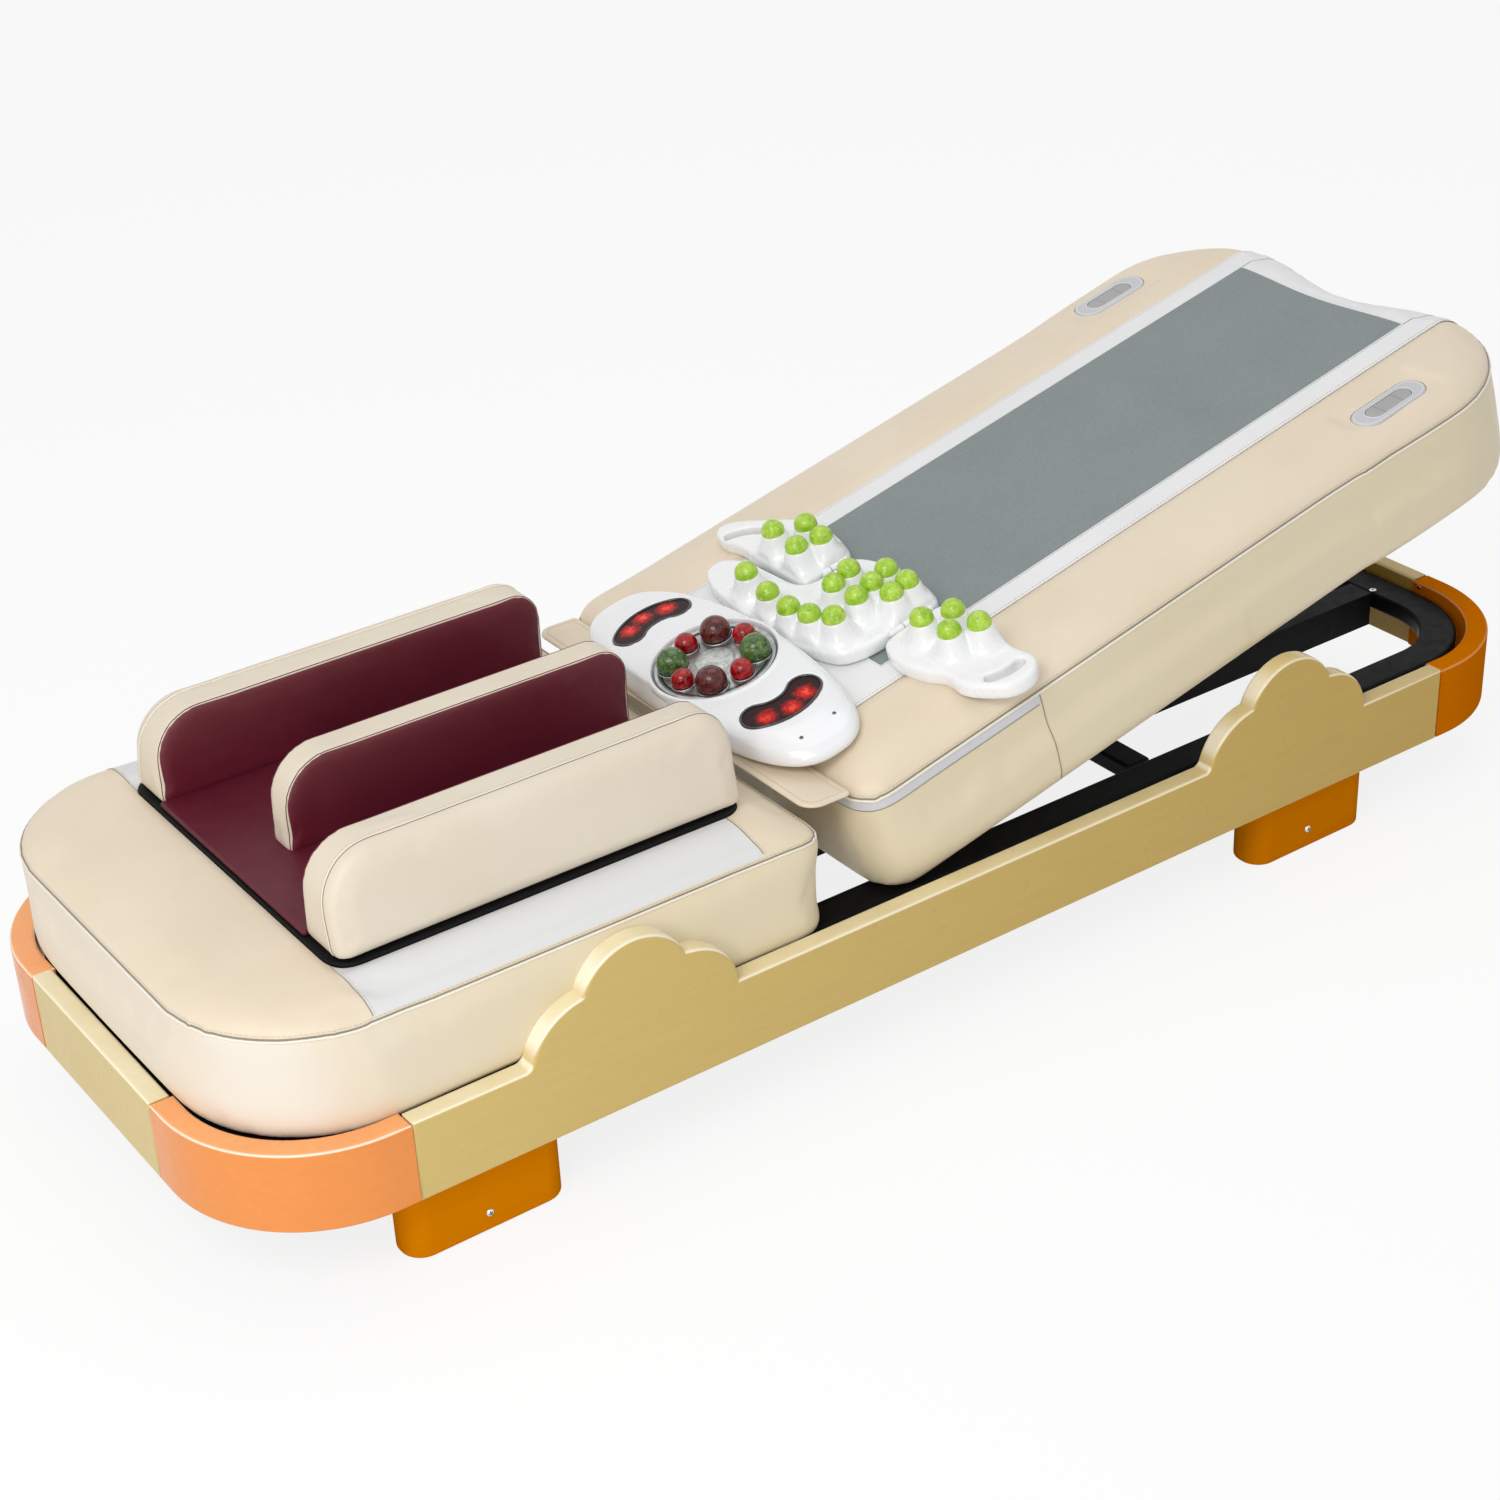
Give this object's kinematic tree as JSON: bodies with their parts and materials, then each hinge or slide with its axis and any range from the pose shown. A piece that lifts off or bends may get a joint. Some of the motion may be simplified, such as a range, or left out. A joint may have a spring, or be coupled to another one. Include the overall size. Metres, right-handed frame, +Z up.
{
  "type": "jade massage bed",
  "caption": "Thermal massage bed with a tilting upholstered back, foot mattress, wooden skirt, leg massager and two loose jade massagers.",
  "frame": {"origin": "on the floor, under the middle of the bed's overall box", "axes": "+X towards the head end, +Y to the far side, +Z up"},
  "size_m": [2.0229, 0.743, 0.6057],
  "materials": {
    "rail_wood": "satin tan-gold lacquer",
    "corner_orange": "glossy orange-brown lacquer",
    "foot_orange": "glossy dark orange lacquer",
    "frame_black": "black powder coat",
    "bright_steel": "ground steel",
    "base_ply": "plain plywood",
    "beige_leather": "smooth beige leatherette",
    "white_fabric": "light grey-white leatherette",
    "grey_mesh": "grey woven mesh",
    "actuator_plastic": "moulded black plastic",
    "jade": "polished jade",
    "panel_grey": "light grey plastic",
    "key_grey": "darker grey plastic",
    "tray_black": "black plastic",
    "gloss_white": "glossy white plastic",
    "disc_steel": "brushed steel disc with set-in balls"
  },
  "bodies": {
    "base": {"side_rail_near": "rail_wood", "side_rail_far": "rail_wood", "end_panel_foot": "rail_wood", "end_panel_head": "rail_wood", "corner_foot_near": "corner_orange", "corner_foot_far": "corner_orange", "corner_head_near": "corner_orange", "corner_head_far": "corner_orange", "foot_foot_near": "foot_orange", "foot_foot_far": "foot_orange", "foot_head_near": "foot_orange", "foot_head_far": "foot_orange", "frame_tube_near": "frame_black", "frame_tube_far": "frame_black", "frame_tube_foot": "frame_black", "frame_tube_head": "frame_black", "frame_bend_foot_near": "frame_black", "frame_bend_foot_far": "frame_black", "frame_bend_head_near": "frame_black", "frame_bend_head_far": "frame_black", "channel_near": "frame_black", "channel_far": "frame_black", "outrigger_near": "frame_black", "outrigger_far": "frame_black", "foot_cushion": "beige_leather", "foot_base_board": "base_ply", "shift_actuator": "actuator_plastic", "lift_anchor": "frame_black"},
    "trolley": {"trolley": "frame_black", "hinge_pin": "bright_steel", "shift_rod": "bright_steel"},
    "back": {"back_base_board": "base_ply", "back_spine": "frame_black", "back_cushion": "beige_leather", "centre_cover": "white_fabric", "mesh_panel": "grey_mesh", "carriage_track": "bright_steel", "control_panel_near": "panel_grey", "control_panel_far": "panel_grey"},
    "flap": {"joint_flap": "beige_leather"},
    "lift_body": {"lift_actuator": "actuator_plastic"},
    "lift_rod": {"lift_rod": "bright_steel"},
    "carriage": {"roller_carriage": "actuator_plastic"},
    "roller_foot": {"jade_roller_foot": "jade"},
    "roller_head": {"jade_roller_head": "jade"},
    "leg_massager": {"leg_tray": "tray_black", "leg_wall_near": "beige_leather", "leg_wall_middle": "beige_leather", "leg_wall_far": "beige_leather"},
    "oval_massager": {"oval_massager": "gloss_white"},
    "massage_disc": {"massage_disc": "disc_steel"},
    "belt_middle": {"belt_middle": "gloss_white"},
    "belt_far": {"belt_far": "gloss_white"},
    "belt_near": {"belt_near": "gloss_white"},
    "key_near_foot": {"key_near_foot": "key_grey"},
    "key_near_middle": {"key_near_middle": "key_grey"},
    "key_near_head": {"key_near_head": "key_grey"},
    "key_far_foot": {"key_far_foot": "key_grey"},
    "key_far_middle": {"key_far_middle": "key_grey"},
    "key_far_head": {"key_far_head": "key_grey"}
  },
  "joints": [
    {"name": "trolley_slide", "type": "slide", "parent": "base", "child": "trolley", "axis": [1, 0, 0], "range_m": [-0.0972, 0]},
    {"name": "back_lift", "type": "hinge", "parent": "trolley", "child": "back", "pos_m": [-0.07977, 0, 0.159], "axis": [0, 1, 0], "range_deg": [0, 13.4]},
    {"name": "flap_fold", "type": "hinge", "parent": "back", "child": "flap", "pos_m": [-0.16143, 0, 0.33229], "axis": [0, 1, 0], "range_deg": [-13.5, 0]},
    {"name": "lift_tilt", "type": "hinge", "parent": "base", "child": "lift_body", "pos_m": [-0.01253, 0, 0.107], "axis": [0, 1, 0], "range_deg": [0, 11.1]},
    {"name": "lift_extend", "type": "slide", "parent": "lift_body", "child": "lift_rod", "axis": [0.9101, 0, 0.4144], "range_m": [-0.1105, 0]},
    {"name": "carriage_travel", "type": "slide", "parent": "back", "child": "carriage", "axis": [0.9728, 0, 0.2317], "range_m": [-0.355, 0.355]},
    {"name": "roller_foot_spin", "type": "hinge", "parent": "carriage", "child": "roller_foot", "pos_m": [0.40981, 0, 0.45142], "axis": [0, 1, 0], "continuous": true},
    {"name": "roller_head_spin", "type": "hinge", "parent": "carriage", "child": "roller_head", "pos_m": [0.50222, 0, 0.47344], "axis": [0, 1, 0], "continuous": true},
    {"name": "leg_massager_lift", "type": "slide", "parent": "base", "child": "leg_massager", "axis": [0, 0, 1], "range_m": [0, 0.3]},
    {"name": "oval_lift", "type": "slide", "parent": "back", "child": "oval_massager", "axis": [-0.2317, 0, 0.9728], "range_m": [0, 0.25]},
    {"name": "disc_spin", "type": "hinge", "parent": "oval_massager", "child": "massage_disc", "pos_m": [-0.14651, -0.01, 0.38314], "axis": [-0.2317, 0, 0.9728], "continuous": true},
    {"name": "belt_lift", "type": "slide", "parent": "back", "child": "belt_middle", "axis": [-0.2317, 0, 0.9728], "range_m": [0, 0.25]},
    {"name": "belt_far_fold", "type": "hinge", "parent": "belt_middle", "child": "belt_far", "pos_m": [0.03881, 0.04091, 0.41865], "axis": [0.9728, 0, 0.2317], "range_deg": [0, 35]},
    {"name": "belt_near_fold", "type": "hinge", "parent": "belt_middle", "child": "belt_near", "pos_m": [0.03881, -0.13605, 0.41865], "axis": [-0.9728, 0, -0.2317], "range_deg": [0, 35]},
    {"name": "key_near_foot_press", "type": "slide", "parent": "back", "child": "key_near_foot", "axis": [0.2317, 0, -0.9728], "range_m": [0, 0.0015], "stiffness_N_per_m": 400},
    {"name": "key_near_middle_press", "type": "slide", "parent": "back", "child": "key_near_middle", "axis": [0.2317, 0, -0.9728], "range_m": [0, 0.0015], "stiffness_N_per_m": 400},
    {"name": "key_near_head_press", "type": "slide", "parent": "back", "child": "key_near_head", "axis": [0.2317, 0, -0.9728], "range_m": [0, 0.0015], "stiffness_N_per_m": 400},
    {"name": "key_far_foot_press", "type": "slide", "parent": "back", "child": "key_far_foot", "axis": [0.2317, 0, -0.9728], "range_m": [0, 0.0015], "stiffness_N_per_m": 400},
    {"name": "key_far_middle_press", "type": "slide", "parent": "back", "child": "key_far_middle", "axis": [0.2317, 0, -0.9728], "range_m": [0, 0.0015], "stiffness_N_per_m": 400},
    {"name": "key_far_head_press", "type": "slide", "parent": "back", "child": "key_far_head", "axis": [0.2317, 0, -0.9728], "range_m": [0, 0.0015], "stiffness_N_per_m": 400}
  ],
  "couplings": [
    {"joint": "trolley_slide", "follows": "back_lift", "m_per_rad": -0.4143},
    {"joint": "flap_fold", "follows": "back_lift", "ratio": -1},
    {"joint": "lift_tilt", "follows": "back_lift", "ratio": 0.8228},
    {"joint": "lift_extend", "follows": "back_lift", "m_per_rad": -0.4712}
  ]
}
